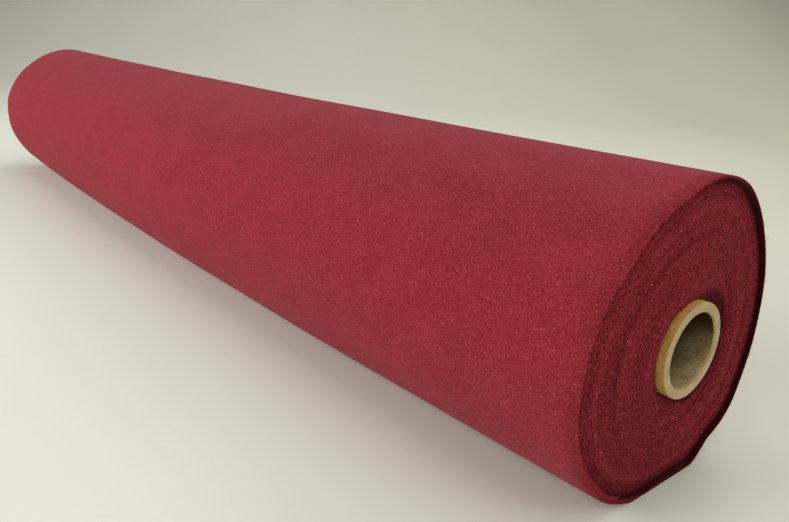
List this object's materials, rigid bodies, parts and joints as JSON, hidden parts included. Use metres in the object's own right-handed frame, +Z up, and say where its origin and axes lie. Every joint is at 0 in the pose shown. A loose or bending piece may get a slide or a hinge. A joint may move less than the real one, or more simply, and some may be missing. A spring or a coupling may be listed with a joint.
{
  "type": "roll of felt",
  "caption": "Length of thin felt wound on a cardboard tube, lying on its side as sold by the roll, with the tube's end showing",
  "frame": {"origin": "On the surface that the roll rests on, under the middle of its bounding box", "axes": "+X along the roll towards the end where the tube stands out most, +Y to the back where the last turn comes down, +Z up"},
  "size_m": [0.925, 0.1637, 0.158],
  "materials": {
    "felt": "matt needle felt in dark red, short fuzzy nap",
    "tube_board": "spiral-wound brown board with a pale cut end"
  },
  "bodies": {
    "root": {"felt_roll": "felt", "core_tube": "tube_board"}
  },
  "joints": []
}
